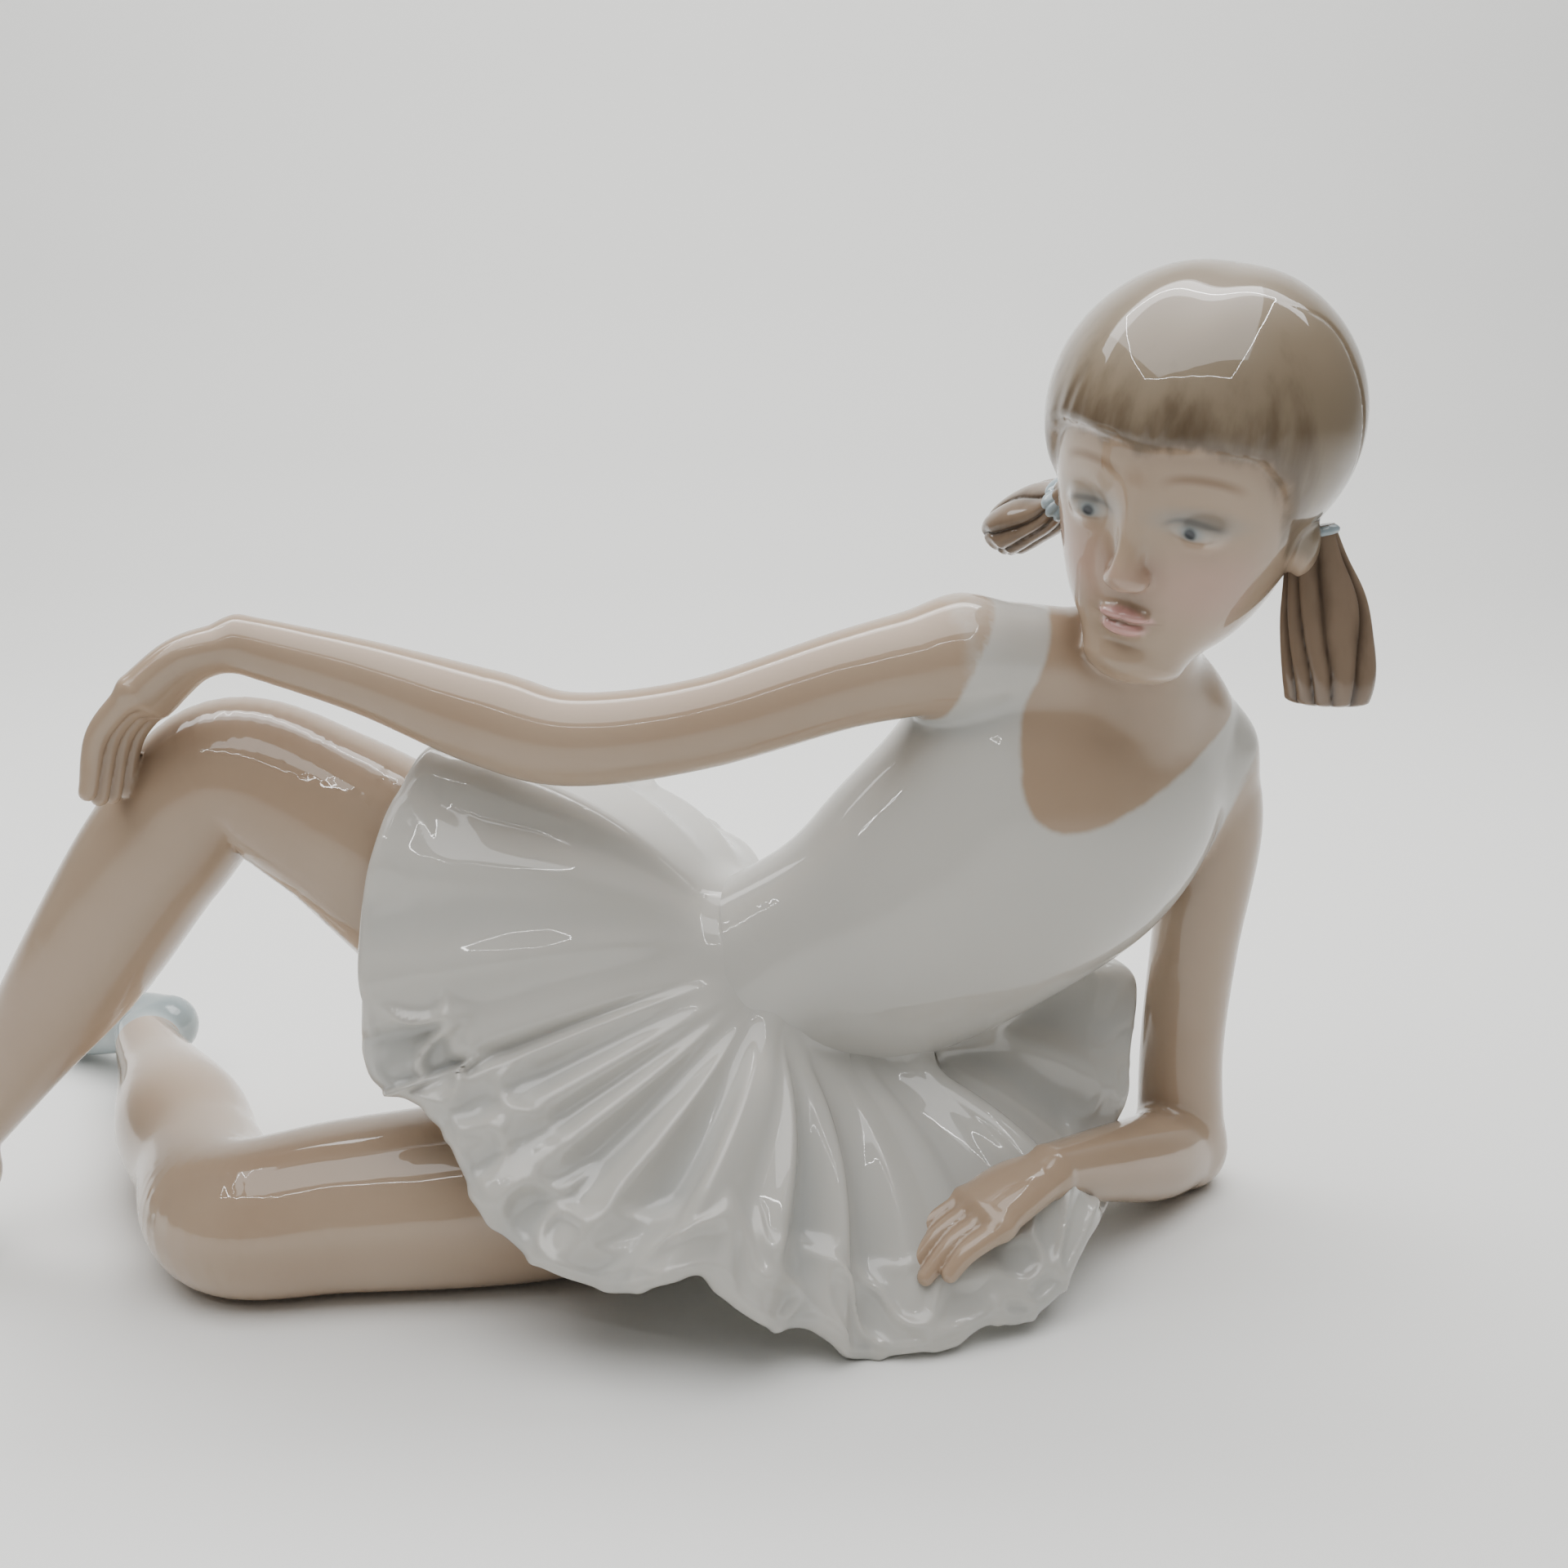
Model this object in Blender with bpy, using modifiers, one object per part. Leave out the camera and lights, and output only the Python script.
"""Reclining ballerina figurine: one piece of glazed porcelain, cast as one body.

The girl lies on her left hip and leans on her left forearm. Her right knee is
raised with the right hand draped over it, and a pleated tutu spreads around her
waist. Metres, +Z up. +X is the side of the head, -Y the front, and the origin is
the middle of the figure's box on the surface that it lies on.

The pose is written in millimetres of the real figure, on a frame whose origin
is under the waist, and UNIT turns these figures into metres.
"""

import math

import bmesh
import bpy
import numpy as np
from mathutils import Euler, Matrix, Vector

for old in list(bpy.data.objects):
    bpy.data.objects.remove(old, do_unlink=True)

# Driving size: from the tip of the right foot to the left upper arm
FIGURE_LENGTH = 0.260
POSE_LENGTH = 260.0
UNIT = FIGURE_LENGTH / POSE_LENGTH

# Surface: voxel of the fusing, passes of smoothing, and triangles kept
FUSE_VOXEL = 1.1
SMOOTH_PASSES = 3
TRIANGLES = 9400
BASE_GRIND = 0.9

# Arms: shoulder, mid upper arm, elbow, thick of the forearm, mid forearm, wrist
RIGHT_ARM = [(27, -10, 103), (10, -14, 100), (-12, -18, 94), (-31, -20, 92),
             (-44, -19, 95), (-62, -18, 101), (-80, -18, 106)]
RIGHT_ARM_RADII = [8.6, 7.4, 6.8, 7.0, 7.2, 5.5, 4.3]
LEFT_ARM = [(70, 13, 82), (74, 16, 68), (72, 16, 46), (71, 16, 26), (72, 16, 7.9)]
LEFT_ARM_RADII = [9.0, 8.2, 7.5, 7.3, 7.8]
SHOULDERS = [(27, -10, 103), (40, -5, 101), (54, 2, 97), (63, 8, 91), (70, 13, 82)]
SHOULDER_RADII = [8.4, 8.6, 9.4, 9.2, 9.0]
LEFT_FOREARM = [(72, 16, 7.9), (64, 5, 11), (54, -7, 15), (42, -21, 20)]
LEFT_FOREARM_RADII = [7.8, 7.6, 6.3, 4.5]

# Hands: palm from wrist to knuckles, then four fingers and a thumb
RIGHT_PALM = [(-80, -18, 106), (-87, -20, 104), (-93, -22, 99)]
RIGHT_PALM_WIDTHS = [4.3, 5.6, 6.4]
RIGHT_PALM_SIDE = (-0.25, -0.94, 0.2)
RIGHT_FINGER_BEND = (-98, -22, 93)
RIGHT_FINGER_TIP = (-100, -23, 84)
LEFT_PALM = [(42, -21, 20), (36, -26, 18.5), (30, -31, 16)]
LEFT_PALM_WIDTHS = [4.5, 5.8, 6.6]
LEFT_PALM_SIDE = (0.66, -0.74, -0.1)
LEFT_FINGER_BEND = (24, -36, 14)
LEFT_FINGER_TIP = (19.5, -39, 10)
PALM_THICKNESS = 3.6
FINGER_RADIUS = 1.9
FINGER_PITCH = 1.75
FINGER_TAPER = (1.15, 1.0, 0.85)
FINGER_SHORTENING = (0.86, 0.98, 1.0, 0.9)

# Legs: hip, mid thigh, above the knee, knee, calf, shin, ankle
RIGHT_LEG = [(-26, 0, 43), (-49, -3, 58.5), (-71, -8, 77), (-86, -10, 84),
             (-98, -10, 72), (-111, -9, 54), (-125, -8, 36), (-137, -8, 21)]
RIGHT_LEG_RADII = [18.0, 17.6, 13.6, 11.8, 11.4, 10.4, 7.6, 5.8]
LEFT_LEG = [(-19, -8, 18), (-44, -13, 15), (-70, -17, 14), (-89, -18, 12.5),
            (-100, 0, 12), (-109, 16, 12.5), (-120, 36, 13), (-129, 52, 13)]
LEFT_LEG_RADII = [16.5, 15.4, 13.8, 12.4, 11.0, 11.4, 7.6, 5.6]

# Feet in slippers: heel, instep, ball, toe
RIGHT_FOOT = [(-137, -8, 15), (-148, -8, 13.5), (-162, -8, 7.5), (-173, -8, 4.6)]
RIGHT_FOOT_RADII = [6.2, 6.3, 5.6, 4.4]
LEFT_FOOT = [(-126, 57, 13.5), (-135, 62, 12), (-150, 70, 7), (-161, 76, 4.8)]
LEFT_FOOT_RADII = [6.2, 6.2, 5.4, 4.2]

# Torso: centre, half width and half depth of each section, pelvis to shoulders
TORSO = [(-32, -2, 27), (-20, -3, 33), (-9, -4, 43), (0, -5, 50), (14, -4, 55),
         (30, -1, 65), (43, 1, 76), (51, 2, 87), (55, 2, 97)]
TORSO_WIDTHS = [12, 22, 21, 18.5, 23.5, 27, 29.5, 26, 12]
TORSO_DEPTHS = [10, 17, 16.5, 14.5, 16.5, 18, 17.5, 13.5, 8]
TORSO_SIDE = (-0.66, -0.28, 0.70)

NECK = [(54, 1, 93), (56, -3, 103), (59, -8, 113)]
NECK_RADII = [9.6, 8.4, 8.4]

# Head: place and turn, then sizes on its own frame (face towards -Y)
HEAD_PLACE = (58.5, -14, 131)
HEAD_PITCH, HEAD_ROLL, HEAD_YAW = 12.0, 10.0, -34.0
SKULL = [(0, -10.5, -28.5), (0, -9.5, -25.5), (0, -6.5, -20.5), (0, -3, -14), (0, 0, -7),
         (0, 2, 1), (0, 3.5, 10), (0, 3.5, 19), (0, 3.5, 25), (0, 3.5, 27)]
SKULL_WIDTHS = [3.5, 7.5, 12, 15.6, 18, 19.4, 19.6, 16.5, 9, 3]
SKULL_DEPTHS = [3.0, 7.5, 11.5, 16, 19.2, 21.4, 22.4, 19, 11, 3]
NOSE = ([(0, -17.8, -1), (0, -18.9, -6), (0, -19.9, -10)], [1.6, 1.9, 2.5])
UPPER_LIP = ((0, -17.3, -16.8), (4.2, 2.2, 1.5))
LOWER_LIP = ((0, -16.6, -19.4), (3.4, 2.4, 1.6))
EAR = ((20.0, 4.0, -7), (2.2, 4.0, 6.0))
HAIR = ((0, 4.0, 7.0), (22.6, 24.2, 21.8))
HAIR_DIP, HAIR_DIP_WIDTH = 0.9, 5.0
HAIR_TUCK = 0.72
FRINGE_HEIGHT = 7.5
HAIR_OPENING = 16.5
NAPE_HEIGHT = -17.0
SIDE_LOCK_FRONT, SIDE_LOCK_HEIGHT = -6.0, -8.0

# Pigtails: path, half widths, share of thickness, grooves, and a ball at the root
TAIL_ROOT = 5.2
LEFT_TAIL = [(20, 6, -9), (22.5, 7, -13), (23, 7, -21), (21, 7, -30), (19.5, 6, -34.5)]
LEFT_TAIL_WIDTHS = [4.0, 6.4, 7.6, 7.8, 6.8]
RIGHT_TAIL = [(-19, 7, -9), (-22, 8.5, -13), (-27, 10, -16.5), (-31, 10, -20), (-33, 9.5, -22.5)]
RIGHT_TAIL_WIDTHS = [4.0, 6.2, 7.6, 7.4, 5.4]
TAIL_THICKNESS = 0.62
TAIL_GROOVES = 5
TAIL_GROOVE_DEPTH = 0.10

# Tutu: ring at the waist, and the hem from the top left round the front and back.
# The last figure of each hem place is the turn of the waist that its cloth runs from
WAIST = (-1, -5, 50)
WAIST_SIDE, WAIST_HALF_WIDTH = (-0.60, -0.07, 0.80), 14.8
WAIST_FRONT, WAIST_HALF_DEPTH = (-0.47, -0.86, 0.16), 12.0
HEM = [(-53, -9, 86, 18), (-58, -17, 80, 34), (-61, -24, 70, 46), (-62, -27, 59, 56),
       (-61, -27, 50, 66), (-60, -28, 42, 78), (-54, -29, 39, 84), (-49, -32, 36, 90),
       (-45, -36, 29, 96), (-40, -39, 23, 100), (-32, -42, 18.5, 103), (-24, -44, 17.5, 105),
       (-16, -46, 19, 107), (-11, -45, 20.5, 109), (-6.5, -45, 15, 111), (-1, -44, 11, 113),
       (5, -41, 9, 116), (10, -40, 3.5, 128), (17, -38.5, 3.2, 146), (25, -37, 4, 158),
       (31, -35.5, 6.5, 164), (36, -34, 5.5, 169), (42, -30, 8, 175), (45, -26, 12, 180),
       (48, -21, 15, 185), (51, -12, 10, 192), (54, -3, 16, 204), (57.5, 5, 25, 216),
       (61, 15, 36, 228), (57, 22, 41, 236), (55, 33, 26, 255), (36, 46, 14, 272),
       (10, 54, 24, 290), (-10, 50, 45, 306), (-22, 42, 63, 322), (-42, 20, 79, 345)]
TUTU_STEPS_AROUND, TUTU_STEPS_OUT = 560, 26
TUTU_LIFT = 5.0
TUTU_THICKNESS = 3.0
HEM_THICKNESS = 4.4
FRILL_START = 0.8
FRILL_LENGTH, FRILL_HEIGHT = 5.5, 0.5
THIGH_CLEARANCE = 1.0

# Folds: number of the hem place that the crest runs to, its height, and the depth
# of the round hollow after it. The folds of the back are alike and evenly spaced.
FOLDS = [(0.2, 1.8, 1.2), (1.7, 1.0, 1.6), (3.2, 1.2, 1.4), (5.0, 1.6, 2.4), (6.3, 2.2, 3.2),
         (7.5, 1.4, 3.4), (8.4, 2.0, 3.6), (9.9, 2.2, 4.2), (12.0, 2.8, 2.8), (14.4, 2.2, 4.8),
         (16.4, 2.0, 3.0), (18.2, 1.4, 4.2), (23.6, 1.2, 1.6), (28.4, 1.6, 2.6)]
BACK_FOLDS, BACK_FROM, BACK_TO = 11, 29.4, 35.3
BACK_CREST, BACK_HOLLOW = 1.6, 3.0


def direction(vector):
    """Unit vector as a numpy array."""
    return np.array(vector, float) / np.linalg.norm(vector)


def catmull_rom(points, count, closed=False):
    """Evenly stepped points on the smooth curve through the given points."""
    p = np.array(points, float)
    before = np.roll(p, 1, axis=0)
    after = np.roll(p, -1, axis=0)
    if not closed:
        before[0] = 2 * p[0] - p[1]
        after[-1] = 2 * p[-1] - p[-2]
    slopes = (after - before) / 2
    last = len(p) if closed else len(p) - 1
    at = np.linspace(0, last, count, endpoint=not closed)
    i = np.minimum(at.astype(int), last - 1)
    t = (at - i)[:, None]
    j = (i + 1) % len(p)
    return ((2 * t**3 - 3 * t**2 + 1) * p[i] + (t**3 - 2 * t**2 + t) * slopes[i]
            + (3 * t**2 - 2 * t**3) * p[j] + (t**3 - t**2) * slopes[j])


def mesh_object(name, points, faces):
    """Object from points in pose millimetres, with its faces turned outwards."""
    mesh = bpy.data.meshes.new(name)
    mesh.from_pydata((np.array(points) * UNIT).tolist(), [], faces)
    work = bmesh.new()
    work.from_mesh(mesh)
    bmesh.ops.recalc_face_normals(work, faces=work.faces)
    work.to_mesh(mesh)
    work.free()
    piece = bpy.data.objects.new(name, mesh)
    bpy.context.scene.collection.objects.link(piece)
    return piece


def tube(name, points, radii):
    """Limb: a curve through the points, round, with its radius at each point."""
    curve = bpy.data.curves.new(name, "CURVE")
    curve.dimensions = "3D"
    curve.bevel_depth = UNIT
    curve.bevel_resolution = 4
    curve.resolution_u = 6
    curve.use_fill_caps = True
    spline = curve.splines.new("BEZIER")
    spline.bezier_points.add(len(points) - 1)
    spline.radius_interpolation = "CARDINAL"
    for knot, place, radius in zip(spline.bezier_points, points, radii):
        knot.co = Vector(place) * UNIT
        knot.radius = radius
        knot.handle_left_type = knot.handle_right_type = "AUTO"
    holder = bpy.data.objects.new(name, curve)
    bpy.context.scene.collection.objects.link(holder)
    bpy.context.view_layer.update()
    evaluated = holder.evaluated_get(bpy.context.evaluated_depsgraph_get())
    mesh = bpy.data.meshes.new_from_object(evaluated)
    bpy.data.objects.remove(holder, do_unlink=True)
    work = bmesh.new()
    work.from_mesh(mesh)
    bmesh.ops.remove_doubles(work, verts=work.verts, dist=0.00001)
    bmesh.ops.recalc_face_normals(work, faces=work.faces)
    work.to_mesh(mesh)
    work.free()
    piece = bpy.data.objects.new(name, mesh)
    bpy.context.scene.collection.objects.link(piece)
    return [piece, ball(name + "_start", points[0], [radii[0]] * 3),
            ball(name + "_end", points[-1], [radii[-1]] * 3)]


def ball(name, centre, radii, turn=None):
    """Ellipsoid: a sphere primitive with its half sizes along its own axes."""
    bpy.ops.mesh.primitive_uv_sphere_add(segments=32, ring_count=20, radius=UNIT)
    piece = bpy.context.object
    piece.name = name
    turned = turn.to_4x4() if turn else Matrix.Identity(4)
    stretch = Matrix.Diagonal((*radii, 1.0))
    piece.data.transform(Matrix.Translation(Vector(centre) * UNIT) @ turned @ stretch)
    return piece


def loft(name, path, half_widths, half_depths, side, flutes=0, flute_depth=0.0):
    """Body with oval sections: each ring lies square to the path, as wide as it
    is told along the side direction, and fluted like locks of hair if asked."""
    rings, around = 6 * len(path), 40
    centres = catmull_rom(path, rings)
    sizes = catmull_rom(np.column_stack([half_widths, half_depths]), rings)
    along = np.gradient(centres, axis=0)
    along /= np.linalg.norm(along, axis=1, keepdims=True)
    wide = direction(side) - along * (along @ direction(side))[:, None]
    wide /= np.linalg.norm(wide, axis=1, keepdims=True)
    deep = np.cross(along, wide)
    turn = np.linspace(0, 2 * np.pi, around, endpoint=False)
    swell = 1 - flute_depth * np.abs(np.sin(turn * flutes / 2))
    points = (centres[:, None]
              + wide[:, None] * (sizes[:, :1] * np.cos(turn) * swell)[..., None]
              + deep[:, None] * (sizes[:, 1:] * np.sin(turn) * swell)[..., None])
    faces = [tuple(range(around))[::-1], tuple(range((rings - 1) * around, rings * around))]
    for ring in range(rings - 1):
        for step in range(around):
            a, b = ring * around + step, ring * around + (step + 1) % around
            faces.append((a, b, b + around, a + around))
    return mesh_object(name, points.reshape(-1, 3), faces)


def hand(name, palm, widths, side, bend, tip):
    """Palm with four fingers side by side, which bend and end in round tips."""
    pieces = [loft(name, palm, widths, [PALM_THICKNESS] * len(palm), side)]
    across = direction(side)
    for finger, reach in enumerate(FINGER_SHORTENING):
        shift = across * (finger - 1.5) * FINGER_RADIUS * FINGER_PITCH
        start, middle, end = (np.array(p, float) + shift for p in (palm[-1], bend, tip))
        end = middle + (end - middle) * reach
        pieces += tube(f"{name}_finger", [start, middle, end],
                       [FINGER_RADIUS * size for size in FINGER_TAPER])
    return pieces


def hair_cap(turn):
    """Smooth hair: an ellipsoid just outside the skull with a dip on the crown.
    It is tucked in below the fringe and the nape, so that the face stays open."""
    centre, radii = HAIR
    piece = ball("hair", (0, 0, 0), (1, 1, 1))
    points = np.array([v.co for v in piece.data.vertices]) / UNIT
    place = points * radii + centre
    crown = np.clip(points[:, 2], 0, 1) ** 3
    dip = 1 - HAIR_DIP / radii[2] * crown * np.exp(-(place[:, 0] / HAIR_DIP_WIDTH) ** 2)
    face_open = (np.abs(place[:, 0]) < HAIR_OPENING) & (place[:, 1] < 0)
    low = np.where(face_open, place[:, 2] < FRINGE_HEIGHT, place[:, 2] < NAPE_HEIGHT)
    low |= (place[:, 1] < SIDE_LOCK_FRONT) & (place[:, 2] < SIDE_LOCK_HEIGHT)
    scale = np.where(low, HAIR_TUCK, dip)
    for vertex, p in zip(piece.data.vertices, points * scale[:, None] * radii + centre):
        vertex.co = Vector(p) * UNIT
    piece.data.transform(turn)
    return piece


def head():
    """Head of a calm young girl, tilted to her right and looking down."""
    turn = (Matrix.Translation(Vector(HEAD_PLACE) * UNIT)
            @ Euler((math.radians(HEAD_PITCH), math.radians(HEAD_ROLL),
                     math.radians(HEAD_YAW)), "YXZ").to_matrix().to_4x4())
    pieces = [loft("skull", SKULL, SKULL_WIDTHS, SKULL_DEPTHS, (1, 0, 0))]
    pieces += [ball("upper_lip", *UPPER_LIP), ball("lower_lip", *LOWER_LIP)]
    centre, radii = EAR
    for ear_side in (-1, 1):
        pieces.append(ball("ear", (centre[0] * ear_side, *centre[1:]), radii))
    pieces += tube("nose", *NOSE)
    for path, widths in ((LEFT_TAIL, LEFT_TAIL_WIDTHS), (RIGHT_TAIL, RIGHT_TAIL_WIDTHS)):
        depths = np.array(widths) * TAIL_THICKNESS
        pieces.append(loft("pigtail", path, widths, depths, (0, 1, 0),
                           TAIL_GROOVES * 2, TAIL_GROOVE_DEPTH))
        pieces.append(ball("tail_root", path[1], [TAIL_ROOT] * 3))
    for piece in pieces:
        piece.data.transform(turn)
    return pieces + [hair_cap(turn)]


def fold_heights(number):
    """Height of the folds along the hem: crests with round hollows between them."""
    folds = FOLDS + [(at, BACK_CREST, BACK_HOLLOW)
                     for at in np.linspace(BACK_FROM, BACK_TO, BACK_FOLDS)]
    first_again = (folds[0][0] + len(HEM), *folds[0][1:])
    at, crest, hollow = np.array(folds + [first_again]).T
    number = np.where(number < at[0], number + len(HEM), number)
    k = np.searchsorted(at, number, side="right") - 1
    share = (number - at[k]) / (at[k + 1] - at[k])
    return crest[k] * (1 - share) + crest[k + 1] * share - hollow[k] * np.sin(np.pi * share)


def clear_of_thigh(sheet):
    """How far the sheet has to stand out to lie over the thigh of the raised leg."""
    knots = catmull_rom(np.column_stack([RIGHT_LEG, RIGHT_LEG_RADII]), 60)
    gap = np.full(sheet.shape[:2], np.inf)
    for x, y, z, radius in knots:
        gap = np.minimum(gap, np.linalg.norm(sheet - (x, y, z), axis=2) - radius)
    return np.maximum(0, TUTU_THICKNESS / 2 + THIGH_CLEARANCE - gap)


def tutu():
    """Tutu: a sheet between the waist ring and the hem, lifted at its middle and laid
    over the thigh, with folds that deepen outwards and a frilled, thicker hem."""
    around, out = TUTU_STEPS_AROUND, TUTU_STEPS_OUT
    rows = np.array(HEM, float)
    number = np.linspace(0, len(rows), around, endpoint=False)
    hem = catmull_rom(rows[:, :3], around, closed=True)
    length = np.cumsum(np.linalg.norm(hem - np.roll(hem, 1, axis=0), axis=1))
    turns = np.append(rows[:, 3], rows[0, 3] + 360)
    turn = np.radians(np.interp(number, np.arange(len(turns)), turns))
    side = direction(WAIST_SIDE)
    front = direction(WAIST_FRONT)
    upward = direction(np.cross(side, front))
    waist = (np.array(WAIST) + np.outer(np.cos(turn), side) * WAIST_HALF_WIDTH
             + np.outer(np.sin(turn), front) * WAIST_HALF_DEPTH)
    share = np.linspace(0, 1, out)[:, None]
    bow = TUTU_LIFT * np.sin(np.pi * share)
    sheet = waist + (hem - waist) * share[..., None] + upward * bow[..., None]
    down = np.gradient(sheet, axis=0)
    across = np.roll(sheet, -1, axis=1) - np.roll(sheet, 1, axis=1)
    normal = np.cross(across, down)
    normal /= np.linalg.norm(normal, axis=2, keepdims=True)
    normal *= np.sign(np.sum(normal @ upward))
    sheet = sheet + normal * (clear_of_thigh(sheet) * share)[..., None]
    frilled = np.clip((share - FRILL_START) / (1 - FRILL_START), 0, 1)
    frill = FRILL_HEIGHT * np.sin(2 * np.pi * length / FRILL_LENGTH) * frilled
    height = fold_heights(number) * share * (1 - frilled / 3) + frill
    half = (TUTU_THICKNESS + (HEM_THICKNESS - TUTU_THICKNESS) * frilled) / 2
    top = sheet + normal * (height + half)[..., None]
    low = sheet + normal * (height - half)[..., None]
    points = np.concatenate([top, low[::-1]]).reshape(-1, 3)
    faces = []
    for row in range(2 * out):
        for step in range(around):
            after, below = (step + 1) % around, (row + 1) % (2 * out) * around
            faces.append((row * around + step, row * around + after, below + after, below + step))
    return mesh_object("tutu", points, faces)


def porcelain():
    """White glazed porcelain."""
    material = bpy.data.materials.new("glazed_porcelain")
    material.use_nodes = True
    shader = material.node_tree.nodes["Principled BSDF"]
    shader.inputs["Base Color"].default_value = (0.62, 0.62, 0.60, 1)
    shader.inputs["Roughness"].default_value = 0.08
    shader.inputs["Metallic"].default_value = 0.0
    return material


def fuse(pieces):
    """One closed body: every piece melts into its neighbours as glaze and slip do."""
    bpy.ops.object.select_all(action="DESELECT")
    for piece in pieces:
        piece.select_set(True)
    figure = pieces[0]
    bpy.context.view_layer.objects.active = figure
    bpy.ops.object.join()
    figure.name = "ballerina_figurine"
    remesh = figure.modifiers.new("Fuse", "REMESH")
    remesh.mode = "VOXEL"
    remesh.voxel_size = FUSE_VOXEL * UNIT
    remesh.use_smooth_shade = True
    smooth = figure.modifiers.new("Soften", "SMOOTH")
    smooth.factor = 0.5
    smooth.iterations = SMOOTH_PASSES
    bpy.context.view_layer.update()
    evaluated = figure.evaluated_get(bpy.context.evaluated_depsgraph_get())
    mesh = bpy.data.meshes.new_from_object(evaluated)
    figure.modifiers.clear()
    figure.data = mesh
    return figure


def settle(figure):
    """Base: the figure is moved to its origin and its underside ground flat."""
    points = np.array([v.co for v in figure.data.vertices])
    low, high = points.min(axis=0), points.max(axis=0)
    middle = (low + high) / 2
    shift = (-middle[0], -middle[1], -low[2] - BASE_GRIND * UNIT)
    figure.data.transform(Matrix.Translation(shift))
    figure["pose_origin"] = shift
    bpy.ops.mesh.primitive_cube_add(size=1)
    grinder = bpy.context.object
    grinder.name = "base_grinder"
    depth = 20 * UNIT
    grinder.data.transform(Matrix.Diagonal((3 * FIGURE_LENGTH, 3 * FIGURE_LENGTH, depth, 1)))
    grinder.data.transform(Matrix.Translation((0, 0, -depth / 2)))
    grinder.hide_render = True
    grinder.display_type = "WIRE"
    lighter = figure.modifiers.new("Facets", "DECIMATE")
    lighter.ratio = TRIANGLES / sum(len(f.vertices) - 2 for f in figure.data.polygons)
    cut = figure.modifiers.new("Base", "BOOLEAN")
    cut.operation = "DIFFERENCE"
    cut.solver = "EXACT"
    cut.object = grinder
    return grinder


def main():
    pieces = []
    pieces += tube("right_arm", RIGHT_ARM, RIGHT_ARM_RADII)
    pieces += tube("left_arm", LEFT_ARM, LEFT_ARM_RADII)
    pieces += tube("left_forearm", LEFT_FOREARM, LEFT_FOREARM_RADII)
    pieces += hand("right_hand", RIGHT_PALM, RIGHT_PALM_WIDTHS, RIGHT_PALM_SIDE,
                   RIGHT_FINGER_BEND, RIGHT_FINGER_TIP)
    pieces += hand("left_hand", LEFT_PALM, LEFT_PALM_WIDTHS, LEFT_PALM_SIDE,
                   LEFT_FINGER_BEND, LEFT_FINGER_TIP)
    pieces += tube("right_leg", RIGHT_LEG, RIGHT_LEG_RADII)
    pieces += tube("left_leg", LEFT_LEG, LEFT_LEG_RADII)
    pieces += tube("right_foot", RIGHT_FOOT, RIGHT_FOOT_RADII)
    pieces += tube("left_foot", LEFT_FOOT, LEFT_FOOT_RADII)
    pieces.append(loft("torso", TORSO, TORSO_WIDTHS, TORSO_DEPTHS, TORSO_SIDE))
    pieces += tube("shoulders", SHOULDERS, SHOULDER_RADII)
    pieces += tube("neck", NECK, NECK_RADII)
    pieces += head()
    pieces.append(tutu())
    figure = fuse(pieces)
    figure.data.materials.clear()
    figure.data.materials.append(porcelain())
    grinder = settle(figure)
    for name, thing in (("ballerina_figurine", figure), ("cutters", grinder)):
        group = bpy.data.collections.new(name)
        bpy.context.scene.collection.children.link(group)
        for holder in list(thing.users_collection):
            holder.objects.unlink(thing)
        group.objects.link(thing)


main()
